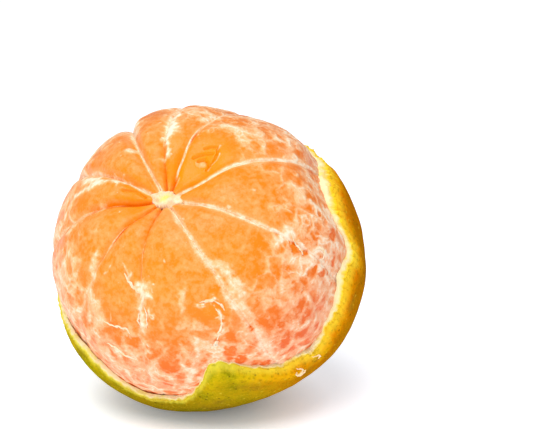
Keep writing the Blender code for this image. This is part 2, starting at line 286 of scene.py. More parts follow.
# Pith that shows on the flesh: half width in mm, how white it is, and its path in fruit angles.
STRANDS = (
    # Fine white threads.
    (0.3, 0.81, ((-13, 31), (-10, 33), (-5, 36), (-1.5, 38))),
    (0.35, 0.77, ((4, 37), (6, 41), (4, 46), (2, 49), (-2, 52))),
    (0.35, 0.85, ((-19, 51.5), (-14, 52.2), (-9, 51.8), (-4, 55), (2, 58))),
    (0.32, 0.81, ((31, 43.5), (35, 44), (38, 45.4), (40.5, 48), (40.2, 51.4))),
    (0.3, 0.77, ((37, 47.5), (37.5, 51), (36, 54.5), (33, 58), (29.5, 61.5))),
    (0.45, 0.85, ((85.7, 52), (85.8, 56), (83.1, 58.5), (79, 59.5))),
    (0.35, 0.68, ((17, 62.4), (26.9, 62.7), (32.8, 62.8))),
    (0.3, 0.59, ((28, 58.5), (34.5, 62.5), (42.7, 68))),
    (0.25, 0.59, ((-25, 28.7), (-26.9, 36.8))),
    (0.3, 0.68, ((-17, 60.5), (-13, 61), (-9, 63.5))),
    (0.3, 0.59, ((15, 57), (19, 60), (18, 64), (22, 67), (23, 71))),
    (0.3, 0.59, ((96, 40), (99, 45), (97, 51), (101, 57), (107, 60))),
    (0.3, 0.51, ((106, 42), (110, 47), (109, 53), (113, 58))),
    (0.22, 0.7, ((158, 25.8), (153.5, 28), (148.5, 29))),
    (0.22, 0.6, ((138, 19.5), (139, 23), (143, 26.6))),
    (0.7, 0.45, ((149.5, 19), (146.5, 20.6))),
    (0.4, 0.4, ((165, 3.5), (168, 7), (167, 10.5))),
    # Thick white webs and their knots.
    (1.5, 0.72, ((-0.5, 35), (0.8, 38), (1.2, 41), (0, 44))),
    (1.0, 0.76, ((0, 43), (-0.5, 47), (0.8, 51))),
    (0.6, 0.8, ((31, 60), (29.5, 61.8))),
    (1.4, 0.9, ((81.5, 47), (84, 49), (88, 50.5))),
    (1.0, 0.88, (
        (81.9, 63.7), (86.2, 63.3), (88.8, 65.4), (88.6, 68.9), (86.2, 70.6), (82.6, 68.3), (81.9, 63.7),
    )),
    (0.9, 0.76, ((82.9, 74.5), (79.1, 71.8), (75.7, 70.0))),
    (1.2, 0.85, ((84.3, 67.4), (85.1, 71.8), (84.1, 75.8))),
    (0.5, 0.85, ((82.2, 64.1), (79.2, 62.4), (76.2, 62.1))),
    (0.9, 0.85, ((106.9, 56.4), (104.9, 58.6), (104.3, 63.6), (101.9, 68), (100, 71.1))),
    (1.2, 0.85, ((106.8, 66), (103.8, 71), (101, 76), (99.3, 79))),
    (0.8, 0.64, ((93.5, 70.1), (93.4, 74.6), (90.4, 74.4))),
    (1.0, 0.68, ((87, 80.5), (82.1, 80), (78, 80))),
    (1.2, 0.88, ((-100.4, 38.3), (-99.7, 32.7), (-98.6, 27.1))),
    (0.7, 0.85, ((-98.6, 27.1), (-101.9, 24), (-104.3, 20), (-103.5, 16.5))),
    (0.8, 0.76, ((-97, 26.5), (-92.7, 33.4), (-90.4, 41.1), (-82.7, 46.6))),
    (0.9, 0.7, ((-100, 38), (-104, 44), (-108, 52))),
    (1.2, 0.85, ((-140.4, 52), (-140.2, 44), (-140.2, 37))),
    (0.7, 0.95, ((-167.5, 16.5), (-168.8, 21), (-168.1, 25.8))),
    (1.5, 0.95, ((-168.1, 26.5), (-167.5, 32), (-166.4, 40.8))),
    (1.2, 0.85, ((-166.4, 41), (-163.2, 55))),
    (0.7, 0.7, ((185.8, 42.1), (179.9, 40.4), (173.4, 37.9))),
    (0.5, 0.56, ((-91, 45), (-84, 43), (-76, 41.5), (-72, 42))),
    (0.7, 0.64, ((-138, 24), (-134, 27), (-131, 28))),
    (1.1, 0.68, ((-143, 36), (-142, 45), (-145, 55))),
    # Broad soft bands.
    (1.4, 0.66, ((47, 33), (51, 38.7), (51, 43.9), (48.5, 51.3), (46.9, 58.6))),
    (1.9, 0.66, ((46.9, 58.6), (45.7, 66), (46, 71.5), (44, 80))),
    (0.9, 0.55, ((44, 66), (54.1, 70.6), (62.7, 73.2), (70.2, 75.1))),
    (0.8, 0.51, ((45.6, 77.5), (50.5, 80.1), (57.7, 81), (67, 82))),
    (0.9, 0.66, ((-39.5, 33), (-36.5, 38), (-33, 43), (-31, 48), (-28, 56))),
    (1.1, 0.75, ((23, 60), (20, 67), (16, 73), (12, 79.5), (8, 85))),
    (1.0, 0.7, ((-10.3, 83.5), (-4.9, 86), (0.7, 87.5), (6.6, 87))),
    (0.8, 0.51, ((23.4, 38.5), (22, 43.5))),
    (0.7, 0.47, ((27, 50.5), (28, 53))),
    (0.6, 0.43, ((18.3, 49.5), (23.5, 51), (28.7, 53.9))),
    (1.4, 0.51, ((-22, 62), (-14, 60), (-8, 63.3), (-3, 66), (2, 68))),
    (1.8, 0.47, ((-25, 68), (-15, 69), (-6, 71), (0, 75), (5, 80))),
    (1.3, 0.47, ((-66, 53), (-54, 57.5), (-45, 57), (-38, 61))),
    (0.7, 0.55, ((-75, 24), (-73.6, 29.2), (-73, 36.2), (-71.6, 44.8))),
    (0.9, 0.55, ((121, 55), (118, 60), (116, 66), (112, 70))),
    (0.9, 0.51, ((160.8, 41), (150, 42), (143.9, 44.1), (139.5, 48.9))),
    (0.8, 0.47, ((146.8, 36), (140, 37), (135.6, 38.2))),
    (1.0, 0.47, ((148.7, 57.8), (140, 56), (132, 55), (126, 58))),
    (1.2, 0.55, ((175, 40), (179, 45), (184, 47), (192, 46))),
    (1.0, 0.47, ((165, 52), (172, 55), (180, 56), (190, 57))),
    (0.6, 0.39, ((-37, 12), (-34, 12.6))),
    (0.5, 0.47, ((57, 55), (62, 60), (60, 66), (64, 71))),
    (0.4, 0.47, ((60, 66), (54, 69), (50, 74))),
    (0.6, 0.47, ((64, 71), (70, 74), (72, 79), (78, 81))),
)
# Where the pith leaves the flesh bare: azimuth, polar angle and reach in degrees, then how bare.
BARE_SPOTS = (
    (-4.3, 57, 2.6, 1), (9.3, 66, 4, 1), (41.6, 41.5, 2.2, 0.9), (29, 48, 2.5, 0.7), (33.8, 67, 3.6, 1),
    (51.4, 61.9, 3, 0.9), (103.1, 60.9, 1.8, 0.9), (97.5, 68.5, 2.6, 1), (91.3, 60.5, 2.3, 0.8),
    (83.9, 59.5, 1.6, 0.8), (80, 65, 1.6, 0.9), (80.9, 69.5, 2.2, 0.9), (89, 75, 2, 0.9),
    (82.5, 54, 2.5, 0.8), (52.6, 76.1, 3.2, 1), (58.7, 78.3, 1.9, 1), (37, 60, 3, 0.7), (70, 62, 3, 0.7),
    (-12, 57, 2.4, 0.7), (-82, 35, 4, 0.8), (56, 68, 2.2, 0.8), (65.7, 68.4, 2.4, 0.8), (3, 62, 2, 0.7),
    (28, 78, 2.4, 0.8), (60, 86.5, 2.6, 0.9), (63.8, 74, 2, 0.8), (65.6, 84.1, 1.8, 0.9),
    (35.6, 73.7, 3.0, 1), (42.3, 82, 2.2, 1), (45.5, 61.9, 1.7, 0.8), (83.9, 72.5, 1.5, 0.8),
    (85.8, 66, 1.2, 0.6), (78.6, 65.5, 1.5, 0.8),
)
# Short folds in the skin of the flesh, as paths of azimuths and polar angles.
FOLDS = (
    ((157.4, 24.7), (153.3, 26.8), (148.9, 27.9), (145, 26.3)),
    ((161.8, 19.4), (157.7, 21.3), (153.7, 23.1), (148, 25)),
    ((154.9, 19.5), (149.6, 21.7), (141.5, 21)),
    ((139.5, 19.2), (140.6, 22.8), (144.4, 25.6)),
    ((-92, 16), (-98, 12), (-90, 8)),
)
FOLD_DEPTH = 0.5 * MM
FOLD_WIDTH = 0.5 * MM
# Pith along the seams: its seam, the polar angle where it starts, its half width in mm at these polar angles,
# and how white it is.
SEAM_POLARS = (14, 45, 78)
SEAM_PITH = (
    (-138.7, 0, 0.38, 0.7, 1.2, 0.8),
    (-105.8, 0, 0.45, 0.9, 1.2, 0.75),
    (-74.5, 16, 0.0, 0.4, 0.8, 0.6),
    (-35.1, 16, 0.0, 0.4, 0.8, 0.6),
    (-1.6, 18, 0.0, 0.25, 0.6, 0.45),
    (45.7, 0, 0.6, 0.8, 1.5, 0.75),
    (84.9, 0, 0.55, 0.6, 1.0, 0.85),
    (128.0, 0, 0.5, 0.6, 0.9, 0.9),
    (172.7, 10, 0.2, 0.32, 0.6, 0.85),
    (196.4, 22, 0.12, 0.8, 1.1, 0.8),
)
# Where the flesh shows a deep, clear orange, partly its own colour and partly painted shade in its hollows:
# azimuth, polar angle and reach in degrees, then how deep.
CLEAR_AND_SHADED_SPOTS = (
    (152, 15, 10, 1.2),
    (143, 22, 9, 1.2),
    (-86, 11, 8, 0.8),
    (-50, 12, 6, 0.5),
    (-178, 18, 8, 0.5),
    (37, 48, 5, 0.5),
    (8, 30, 12, 0.25),
    (-20, 40, 10, 0.25),
    (57, 37, 12, 0.12),
    (62, 48, 8, 0.1),
)


def near_path(points, path):
    """Distance of each point from a path of fruit angles over the skin."""
    corners = skin_points(*np.array(path, float).T)
    nearest = np.full(len(points), np.inf)
    for start, end in zip(corners, corners[1:]):
        along = end - start
        share = np.clip((points - start) @ along / (along @ along), 0, 1)
        nearest = np.minimum(nearest, np.linalg.norm(points - start - share[:, None] * along, axis=1))
    return nearest


# Branches: the whiteness above which a strand has them, their half width in mm, their lengths in degrees,
# how many pieces each has, and how far it turns between them.
BRANCHED_FROM = 0.6
BRANCH_WIDTH = 0.22
BRANCH_LENGTHS = (1.2, 4.2)
BRANCH_PIECES = 3
BRANCH_TURN = 0.9


def with_branches():
    """The strands, and the short thin branches that the whiter ones throw out to all sides."""
    wander = random.Random(7)
    strands = list(STRANDS)
    for _, strength, path in STRANDS:
        for azimuth, polar in path * 2 if strength > BRANCHED_FROM else ():
            azimuth, polar = azimuth + wander.uniform(-1, 1), polar + wander.uniform(-1, 1)
            branch = [(azimuth, polar)]
            heading, length = wander.uniform(0, 2 * math.pi), wander.uniform(*BRANCH_LENGTHS)
            step = length / BRANCH_PIECES
            for _ in range(BRANCH_PIECES):
                azimuth += step * math.cos(heading) / math.sin(math.radians(max(polar, 5)))
                polar += step * math.sin(heading)
                heading += wander.uniform(-BRANCH_TURN, BRANCH_TURN)
                branch.append((azimuth, polar))
            strands.append((BRANCH_WIDTH * wander.uniform(0.6, 1.3), 0.9 * strength, branch))
    return strands


ALL_STRANDS = with_branches()
# No part of a strand lies further than this from its middle corner.
STRAND_REACH = 14 * MM
# How pith fades: the half widths from its middle at which its white and its veil end and are full.
STRAND_FADES = ((1.7, 0.2), (3.2, 0.6))
SEAM_FADES = ((1.7, 0.3), (3.5, 0.6))
SEAM_VEIL_WIDTH = 0.15 * MM


def painted_strands(points, ragged):
    """The single strands of pith: how white each point is, and how hazy round them."""
    white, haze = np.zeros(len(points)), np.zeros(len(points))
    for width, strength, path in ALL_STRANDS:
        middle = skin_points(*np.array(path[len(path) // 2], float))
        near = np.flatnonzero(np.linalg.norm(points - middle, axis=1) < STRAND_REACH)
        away = near_path(points[near], path) / (width * MM * (1 + 0.55 * ragged[near]))
        white[near] = np.maximum(white[near], strength * smooth_step(*STRAND_FADES[0], away))
        haze[near] = np.maximum(haze[near], 0.8 * strength * smooth_step(*STRAND_FADES[1], away))
    return white, haze


def painted_seams(azimuth, polar, ragged):
    """The pith along the seams, as it spreads over the flesh on both sides."""
    white, haze = np.zeros(len(polar)), np.zeros(len(polar))
    out = np.sin(np.radians(polar)) * FRUIT_RADIUS
    for seam, start, *widths, strength in SEAM_PITH:
        away = np.radians(abs(wrapped(azimuth - seam))) * out
        strength = strength * smooth_step(start - 3, start + 3, polar)
        width = np.interp(polar, SEAM_POLARS, widths) * MM * (1 + 0.5 * ragged) + 1e-6
        white = np.maximum(white, strength * smooth_step(*SEAM_FADES[0], away / width))
        veil = smooth_step(*SEAM_FADES[1], away / (width + SEAM_VEIL_WIDTH))
        haze = np.maximum(haze, 0.7 * strength * veil)
    return white, haze


def cell_distances(points, size):
    """Distances from the middles of the nearest two of a pattern of irregular cells of this size."""
    return np.array([noise.voronoi(place)[0][:2] for place in (points / size).tolist()]).T


def cell_edges(points, size):
    """Distance from the borders of the cells: 0 on a border."""
    nearest, second = cell_distances(points, size)
    return second - nearest


SPECK_SPACING = 2.7 * MM
SPECK_SIZE = 0.22


def specks(points):
    """Small loose specks of pith, scattered over the flesh, and the haze round them."""
    white = []
    for place in (points / SPECK_SPACING).tolist():
        near, spots = noise.voronoi(place)
        size = SPECK_SIZE * (noise.noise(spots[0] * 9.1) + 0.15)
        white.append(size - near[0])
    white = np.array(white)
    return 0.7 * smooth_step(-0.05, 0.07, white), 0.5 * smooth_step(-0.18, 0.04, white)


# How dense the net is: azimuth, polar angle and reach in degrees, then how much denser or sparser.
NET_PATCHES = (
    (150, 40, 16, 0.45),
    (-170, 42, 16, 0.55),
    (-120, 50, 16, 0.3),
    (95, 58, 14, 0.1),
    (-60, 52, 18, 0.3),
    (55, 66, 18, -0.25),
    (5, 52, 12, -0.15),
    (20, 40, 16, -0.3),
    (100, 30, 14, -0.2),
    (-155, 30, 14, -0.3),
    (-120, 32, 12, -0.3),
)
# Noise of four sizes, in mm, with the shift that tells each from the others.
CLOUDS = ((9, 5.5), (4.5, 9.2), (2.2, 2.2), (0.9, 7.7))
# What bends the net: the size of the bends and how far they reach, in mm, and a shift for each axis.
BENDS = ((3.4, 1.2, (3.1, 17.7, 41.3)), (1.3, 0.4, (8.1, 27.7, 61.3)))
# The sizes of the cells between its cords, its threads and its fibres, in mm.
CELL_SIZES = (4.4, 2.5, 1.3)
# Painted shade in the creases: how deep a crease is where its flesh starts to turn a deeper, clearer orange,
# and where it wholly does.
PAINTED_CREASE_SHADE = (0.6 * MM, 2.2 * MM)


def random_net(azimuth, polar, points, clouds):
    """The net between the single strands: how white it is, and how hazy."""
    broad, middling, small, tiny = clouds
    dense = blend(smooth_step(22, 72, polar), 1, 0.8 * smooth_step(20, 3, torn_edge(azimuth) - polar))
    dense = np.clip(dense + swelling(azimuth, polar, NET_PATCHES), 0, 1)
    coarse, medium, fine = (cell_edges(points + 0.7, size * MM) for size in CELL_SIZES)
    width = np.clip(0.08 + 0.10 * dense + 0.12 * middling + 0.08 * small, 0.02, 0.4)
    corded = smooth_step(-0.3, 0.35, broad * 0.8 + middling * 0.5 + 1.3 * dense - 0.75)
    threaded = smooth_step(-0.1, 0.5, middling + small * 0.6 + 1.1 * dense - 0.95)
    cords = 0.6 * smooth_step(2.0 * width, 0.2 * width, coarse) * corded
    threads = 0.6 * smooth_step(0.2, 0.01, medium) * threaded
    fibres = 0.42 * smooth_step(0.28, 0.0, fine) * smooth_step(0.0, 0.6, small + dense - 0.6)
    net = 1 - (1 - cords * (0.75 + 0.25 * tiny)) * (1 - threads) * (1 - fibres)

    haze = 0.5 * smooth_step(0.6, 0.05, coarse) * corded + 0.2 * smooth_step(0.5, 0.1, medium) * threaded
    rough = blend(0.6, 0.95, smooth_step(20, 52, polar))
    haze += 0.3 - 0.15 * dense + rough * (0.22 * middling + 0.42 * small + 0.55 * tiny - 0.1 * broad)
    return net, haze


def strongest(azimuth, polar, spots):
    """How strong the strongest of these spots is at each point."""
    return np.max([swelling(azimuth, polar, (spot,)) for spot in spots], axis=0)


def net_fields(azimuth, polar):
    """How white and how hazy the pith is at each point of the flesh, and how deep and clear the flesh is,
    partly with painted shade.
    """
    points = skin_points(azimuth, polar)
    clouds = [noise_at(points, size * MM, shift) for size, shift in CLOUDS]
    _, middling, small, tiny = clouds
    bent = points
    for size, reach, shifts in BENDS:
        bend = np.stack([noise_at(points, size * MM, shift) for shift in shifts], axis=-1)
        bent = bent + bend * reach * MM
    net, haze = random_net(azimuth, polar, bent, clouds)

    ragged = np.clip(0.6 * small + 0.8 * tiny + 0.3 * middling, -0.9, 1)
    wavy = azimuth + middling * 1.2
    for white, veil in (painted_strands(bent, ragged), painted_seams(wavy, polar, middling), specks(bent)):
        net = np.maximum(net, white * (0.9 + 0.35 * tiny + 0.25 * small))
        haze = np.maximum(haze, veil + 0.2 * small)
    bare = strongest(azimuth + 2 * small, polar + 1.5 * tiny, BARE_SPOTS)
    bare = smooth_step(0.25, 0.75, bare + 0.3 * tiny)
    net = net * (1 - bare)
    haze = haze * (1 - bare) + (0.6 * tiny + 0.4 * small - 0.12) * bare

    # Painted shade: near the core the creases turn a deeper, clearer orange.
    crease_shade = smooth_step(*PAINTED_CREASE_SHADE, crease_drop(azimuth, polar)) * smooth_step(45, 20, polar)
    clear_and_shaded = np.maximum(strongest(azimuth, polar, CLEAR_AND_SHADED_SPOTS), crease_shade)
    haze = haze * (1 - 0.75 * clear_and_shaded) - 0.15 * clear_and_shaded
    clear_and_shaded = clear_and_shaded + 0.25 * small * (clear_and_shaded > 0.1)
    return np.clip(net, 0, 1), np.clip(haze, -0.5, 1), np.clip(clear_and_shaded, 0, 1)


# The segments.

# How far round the ball's turn a segment's back starts, its fine rows end and its lower end is reached, and
# the polar angle where those fine rows end.
SEGMENT_TURNS = (-1.0, -0.96, 0.62, 0.9, 1.0)
FINE_TO = 98.0
SEGMENT_COLUMNS = 300
ROWS_PER_DEGREE = 2.6
SIDE_SHARE = 0.1
# The rows come in multiples of this, so that one of them runs along each edge of the back.
EDGE_ROWS = 20
# How much closer the columns lie towards the seams.
CROWDING = 1.25
SEAM_GAP = 0.004 * MM
SEGMENT_MIDDLE = 17 * MM
NET_RELIEF = 0.2 * MM
CORE_GAP = 0.2 * MM
UNEVENNESS = ((7 * MM, 3.3, 0.3 * MM), (2.6 * MM, 8.8, 0.08 * MM))


def flesh_segment(number, first, second, finish):
    """One segment: a ball pressed into the wedge between two seams, its back finely grained."""
    rows = EDGE_ROWS * round((second - first) * ROWS_PER_DEGREE / EDGE_ROWS)
    work, turn, fall = ball(SEGMENT_COLUMNS, rows)
    tip = math.degrees(math.asin(CORE_RADIUS / FRUIT_RADIUS)) + 0.5
    share = turn / math.pi
    polar = np.interp(share, SEGMENT_TURNS, (tip, tip, FINE_TO, 180 - tip, 180 - tip))
    into_top = (SEGMENT_TURNS[1] - share) / (SEGMENT_TURNS[1] - SEGMENT_TURNS[0])
    into_bottom = (share - SEGMENT_TURNS[3]) / (SEGMENT_TURNS[4] - SEGMENT_TURNS[3])
    inner = np.clip(np.maximum(into_top, into_bottom), 0, 1)

    # From the middle of the back, at 0, to its edges, at 1, and then over the flat sides.
    off_middle = 1 - 2 * fall
    side = np.clip((abs(off_middle).round(4) - (1 - SIDE_SHARE)) / SIDE_SHARE, 0, 1).round(4)
    over = np.clip(off_middle / (1 - SIDE_SHARE), -1, 1)
    over = np.sign(over) * (1 - (1 - abs(over)) ** CROWDING)
    middle, half = (first + second) / 2, (second - first) / 2
    gap = np.degrees(SEAM_GAP / (np.sin(np.radians(polar)) * FRUIT_RADIUS))
    azimuth = middle + over * (half - gap)

    points = flesh_surface(azimuth, polar)
    for path in FOLDS:
        folded = smooth_step(FOLD_WIDTH, 0, near_path(skin_points(azimuth, polar), path)) * (side < 1)
        points -= directions(azimuth, polar) * (FOLD_DEPTH * folded)[:, None]
    open_back = (polar < torn_edge(azimuth) + 5) & (side == 0) & (inner == 0)
    net, haze, clear_and_shaded = np.zeros(len(polar)), np.zeros(len(polar)), np.zeros(len(polar))
    net[open_back], haze[open_back], clear_and_shaded[open_back] = net_fields(azimuth[open_back], polar[open_back])
    uneven = noises(points, UNEVENNESS) * (1 - side)
    points += directions(azimuth, polar) * (net * NET_RELIEF + uneven)[:, None]

    out = np.hypot(points[:, 0], points[:, 1])
    out = np.where(inner > 0, blend(out, CORE_RADIUS + CORE_GAP, np.minimum(1, inner * 8)), out)
    out = SEGMENT_MIDDLE + (out - SEGMENT_MIDDLE) * (1 - side)
    height = points[:, 2] * (1 - inner * 0.5) * (1 - side)
    around = np.radians(azimuth)
    points = np.stack([out * np.cos(around), out * np.sin(around), height], axis=-1)
    fields = {"net": net, "haze": haze, "clear_and_shaded": clear_and_shaded, "low": smooth_step(35, 85, polar)}
    name = f"flesh_segment_{number:02d}"
    return piece_from(work, name, points, fields, finish, "segment_skin", f"segment_{number:02d}")


# The peel.

PEEL_COLUMNS = 600
PEEL_ROWS = 160
# How far down the ball lie the middle of the cup's floor, its inner lip, its outer lip, the end of its finer
# rows and its lower end.
PEEL_FALLS = (0.0, 0.16, 0.27, 0.55, 1.0)
LIP_SINK = 0.5 * MM
# Degrees of cut peel that show along the torn edge, by azimuth.
CUT_BAND = (
    (-180, 2.6), (-60, 2.2), (-30, 1.6), (0, 1.4), (14, 1.4), (20, 0.9), (32, 0.9), (40, 1.6), (52, 2.4),
    (75, 2.6), (100, 2.8), (112, 3.5), (120, 6.0), (135, 6.5), (150, 4.0), (180, 2.6),
)
# The share of the peel's thickness that is left at the torn edge, by azimuth: elsewhere it has torn thin.
EDGE_SHARE = (
    (-180, 0.8), (-100, 0.7), (-60, 0.45), (-20, 0.4), (5, 0.45), (14, 0.3), (20, 0.12), (32, 0.12),
    (42, 0.3), (55, 0.4), (80, 0.55), (125, 0.65), (180, 0.8),
)
THINNING_REACH = 7.0
# How far down from the edge the skin catches the light, in degrees, by azimuth.
LIT_REACH = (
    (-180, 3), (0, 2.5), (15, 3), (22, 5), (33, 5), (40, 4), (60, 6.5), (120, 6.5), (180, 3),
)
# How far the edge stands out from the flesh, in mm, by azimuth, and how far down the skin does so.
EDGE_FLARE = ((-180, 0.4), (-80, 0.4), (-50, 0.9), (-10, 0.8), (8, 0.4), (20, 0.3), (100, 0.4), (180, 0.4))
FLARE_REACH = 9.0
# How far the skin has turned from green, at 0, to orange, at 1, by azimuth.
RIPENESS = (
    (-180, 0.5), (-120, 0.4), (-60, 0.2), (-20, 0.17), (10, 0.15), (28, 0.15), (42, 0.6), (50, 0.8),
    (70, 0.82), (90, 0.9), (115, 0.95), (150, 0.75), (180, 0.5),
)
RIPENESS_BENEATH = 0.45
# Painted shade: how much darker the skin's colour is made below the edge, by azimuth, and the degrees below
# it over which that grows.
PAINTED_SHADE_BELOW_EDGE = ((-180, 0.5), (-60, 0.45), (0, 0.45), (24, 0.55), (45, 0.8), (60, 1), (120, 1), (180, 0.5))
PAINTED_SHADE_BELOW_EDGE_REACH = (3.0, 13.0)
# Painted shade beneath too: the skin is darkened from this height above the floor to that one, and by how
# much.
PAINTED_UNDERSIDE_SHADE_HEIGHTS = (18 * MM, 4 * MM)
PAINTED_UNDERSIDE_SHADE_STRENGTH = 0.85
LIP_SHOULDER = 0.33 * MM
LIP_SHOULDER_REACH = 2.2
GLAND_SPACING = 1.7 * MM
GLAND_DEPTH = 0.1 * MM
# The scar at the lower end: how far its dent and its colour reach, in degrees, and its depth.
SCAR_REACH = 4.5
SCAR_COLOUR_REACH = 2.6
SCAR_DEPTH = 1.3 * MM
# Layers of noise, along the edge by its direction and over the skin by its place.
FRAYING = ((0.045, 2.0, 0.8), (0.018, 7.0, 0.35))
THINNING = ((0.07, 3.0, 0.4), (0.02, 5.0, 0.4))
BANDING = ((0.05, 4.0, 0.5), (0.015, 9.0, 0.6))
BUMPS = ((9 * MM, 1.0, 0.22 * MM), (3 * MM, 6.0, 0.1 * MM))
RAGS = ((1.1 * MM, 3.0, 0.45 * MM), (2.6 * MM, 5.0, 0.45 * MM))
RIPENING = ((14 * MM, 4.0, 0.14), (4 * MM, 8.0, 0.08))


def by_azimuth(table, azimuth):
    angles, values = np.array(table, float).T
    return np.interp(wrapped(azimuth), angles, values)


def peel(finish):
    """The cup of peel: a ball pressed in from above, so that its top is the cup's white inner face."""
    work, turn, fall = ball(PEEL_COLUMNS, PEEL_ROWS)
    azimuth = np.degrees(turn)
    rim = directions(azimuth, 90)
    edge = torn_edge(azimuth) + noises(rim, FRAYING)
    left = np.clip(by_azimuth(EDGE_SHARE, azimuth) * (1 + noises(rim, THINNING)), 0.1, 1)
    band = by_azimuth(CUT_BAND, azimuth) * (1 + noises(rim, BANDING)) * blend(0.4, 1, left)
    cut = np.interp(fall, PEEL_FALLS[1:3], (1, 0))
    inner = np.interp(fall, PEEL_FALLS[:2], (1, 0))
    outer = np.interp(fall, PEEL_FALLS[2:], (0, 0.3, 1))
    polar = edge + (180 - edge) * inner + band * (1 - cut) + (180 - edge - band) * outer
    below = polar - edge - band
    flare = by_azimuth(EDGE_FLARE, azimuth) * MM * smooth_step(FLARE_REACH, 0, polar - edge) * (inner == 0)
    thinned = PEEL_THICKNESS * (1 - left) * smooth_step(THINNING_REACH, 0, below)
    shoulder = LIP_SHOULDER * smooth_step(LIP_SHOULDER_REACH, 0, below) * (cut == 0)
    depth = PEEL_THICKNESS + LIP_SINK * smooth_step(0.75, 1, cut) * smooth_step(0.06, 0, inner)
    offset = flare - np.where(inner > 0, depth, thinned + shoulder + (depth - thinned) * cut**0.8)
    points = skin_points(azimuth, polar, offset)
    glands = smooth_step(0.45, 0.05, cell_distances(points, GLAND_SPACING)[0])
    pores = GLAND_DEPTH * glands * (cut == 0) * (inner == 0)
    scar = SCAR_DEPTH * np.exp(-(((180 - polar) / SCAR_REACH) ** 2)) * (inner == 0)
    push = noises(points, BUMPS) + noises(points, RAGS) * np.sin(cut * math.pi) - scar - pores
    points += directions(azimuth, polar) * push[:, None]

    # What would reach below the floor settles flat on it.
    world = points @ TURN_TO_WORLD.T + np.array(TO_WORLD.translation)
    points += np.clip(-world[:, 2], 0, None)[:, None] * TURN_TO_WORLD[2]
    # Painted shade: the skin darkens low down, near the floor.
    painted_underside_shade = PAINTED_UNDERSIDE_SHADE_STRENGTH * smooth_step(*PAINTED_UNDERSIDE_SHADE_HEIGHTS, world[:, 2])
    # Painted shade: the skin darkens further down from the torn edge, most on the shaded side.
    painted_shade = smooth_step(*PAINTED_SHADE_BELOW_EDGE_REACH, below) * by_azimuth(PAINTED_SHADE_BELOW_EDGE, azimuth)
    ripe = blend(by_azimuth(RIPENESS, azimuth), RIPENESS_BENEATH, smooth_step(110, 165, polar))
    fields = {
        "cut": np.where(inner > 0, 1, cut),
        "lit": smooth_step(1, 0.1, below / by_azimuth(LIT_REACH, azimuth)) * (inner == 0),
        "ripe": np.clip(ripe + noises(points, RIPENING), 0, 1),
        "deep": np.maximum(painted_shade, painted_underside_shade) * (inner == 0),
        "scar": np.exp(-(((180 - polar) / SCAR_COLOUR_REACH) ** 2)) * (inner == 0),
    }
    return piece_from(work, "orange_peel", points, fields, finish, "peel_skin", "peel")


# The pith that stands proud.

STRING_COLUMNS = 14
STRING_ROWS = 260
STRING_BLUNTNESS = 8
STRING_HEIGHT = 0.2 * MM
# From which polar angle to which a string stands proud, and the half width in mm that its seam's pith has to
# have near the core.
STRING_POLARS = (5.0, 52.0)
STRING_LEAST = 0.35


def drawn_out(path, width, height, lift, turn, fall):
    """A ball drawn out along a path of angles over the flesh, with this half width, half height and lift."""
    path = np.array(path, float)
    steps = np.linspace(0, 1, len(path))

    def angles(share):
        return [np.interp(share, steps, corners) for corners in path.T]

    def along(share, raised=0.0):
        return flesh_surface(*angles(share), raised)

    end = np.sqrt(np.clip(1 - (2 * fall - 1) ** STRING_BLUNTNESS, 0, 1))
    tangent = along(np.minimum(fall + 0.01, 1)) - along(np.maximum(fall - 0.01, 0))
    up = directions(*angles(fall))
    across = np.cross(tangent, up)
    across /= np.linalg.norm(across, axis=1, keepdims=True)
    sideways = across * (width * end * np.cos(turn))[:, None]
    return along(fall, lift) + sideways + up * (height * end * np.sin(turn))[:, None]


def seam_pith(finish):
    """The strings of pith in the grooves between the segments, where they stand proud near the core."""
    strong = [row for row in SEAM_PITH if row[2] > STRING_LEAST]
    for index, (seam, _, *widths, _) in enumerate(strong):
        work, turn, fall = ball(STRING_COLUMNS, STRING_ROWS)
        wander = random.Random(index)
        path = [(seam + wander.uniform(-0.3, 0.3), blend(*STRING_POLARS, step / 9)) for step in range(10)]
        uneven = 1 + 0.55 * noise_over(fall * 22, 0, index) + 0.4 * noise_over(fall * 9, 5, index)
        uneven += 0.5 * noise_over(fall * 24, np.sign(np.cos(turn)) * 4, index)
        taper = 1 - 0.75 * smooth_step(0.4, 1, fall)
        width = np.interp(blend(*STRING_POLARS, fall), SEAM_POLARS, np.minimum(widths, 0.8))
        width = (0.5 * width + 0.1) * MM * uneven * taper
        points = drawn_out(path, width, STRING_HEIGHT * taper, 0.02 * MM, turn, fall)
        points += directions(seam, 60) * (noise_at(points, 2.0 * MM, index) * 0.1 * MM)[:, None]
        fields = {"heart": np.zeros(len(turn))}
        piece_from(work, f"seam_pith_{index + 1:02d}", points, fields, finish, "white_pith", "pith")


